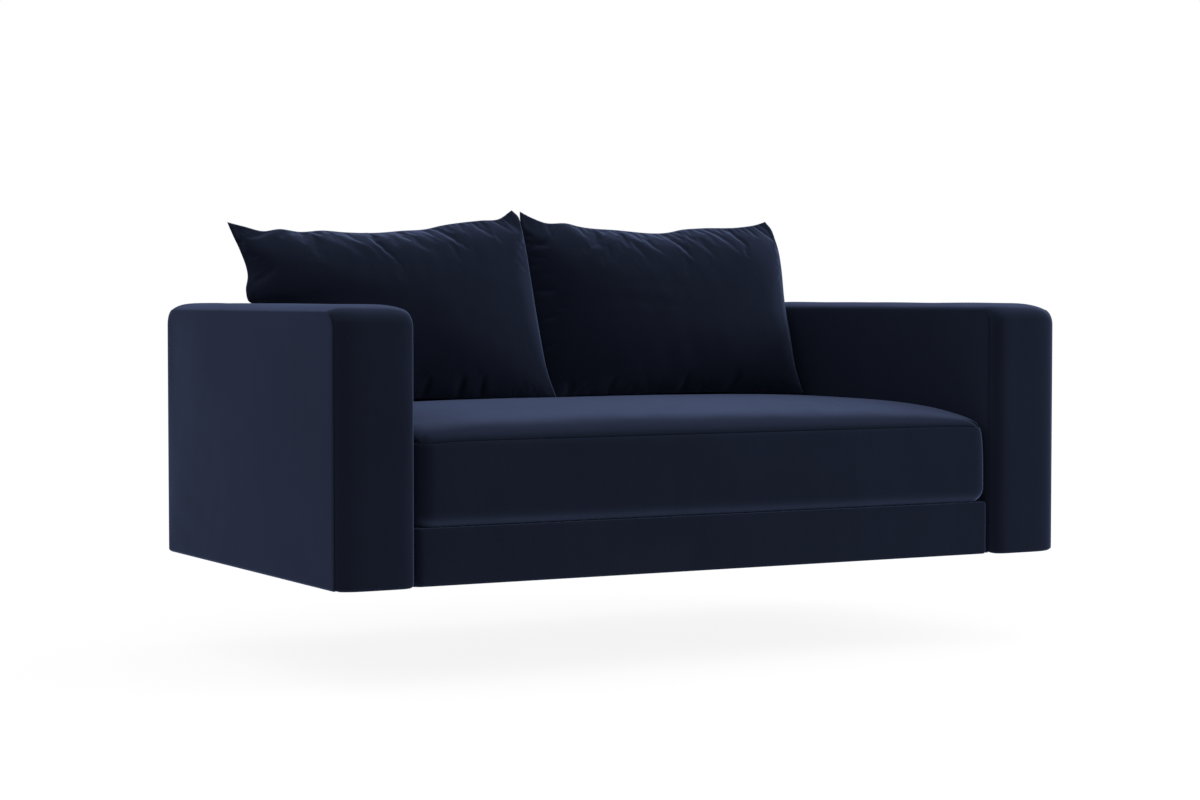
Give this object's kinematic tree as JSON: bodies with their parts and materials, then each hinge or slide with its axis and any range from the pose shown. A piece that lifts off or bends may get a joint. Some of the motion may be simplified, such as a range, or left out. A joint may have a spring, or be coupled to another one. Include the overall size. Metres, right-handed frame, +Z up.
{
  "type": "sofa slipcover",
  "caption": "Fitted velvet slipcover for a compact sofa: a hollow frame cover with box arms and a low back, a bench seat cushion and knife-edge back cushions.",
  "frame": {"origin": "centre of the underside of the seat deck, where the cover lies on the sofa's frame", "axes": "+X towards the arm on the right when seen from the front, +Y from the front towards the back, +Z up"},
  "size_m": [1.508, 0.821, 0.6625],
  "materials": {
    "cover_velvet": "matte navy velvet, pile brushed smooth",
    "cushion_velvet": "matte navy velvet, filled cushions"
  },
  "bodies": {
    "root": {"arm_band_left": "cover_velvet", "arm_band_right": "cover_velvet", "arm_inner_left": "cover_velvet", "arm_inner_right": "cover_velvet", "arm_outer_left": "cover_velvet", "arm_outer_right": "cover_velvet", "back_band": "cover_velvet", "back_inner": "cover_velvet", "back_outer": "cover_velvet", "front_rail": "cover_velvet", "seat_deck": "cover_velvet", "seat_cushion": "cushion_velvet", "back_cushion_left": "cushion_velvet", "back_cushion_right": "cushion_velvet"}
  },
  "joints": []
}
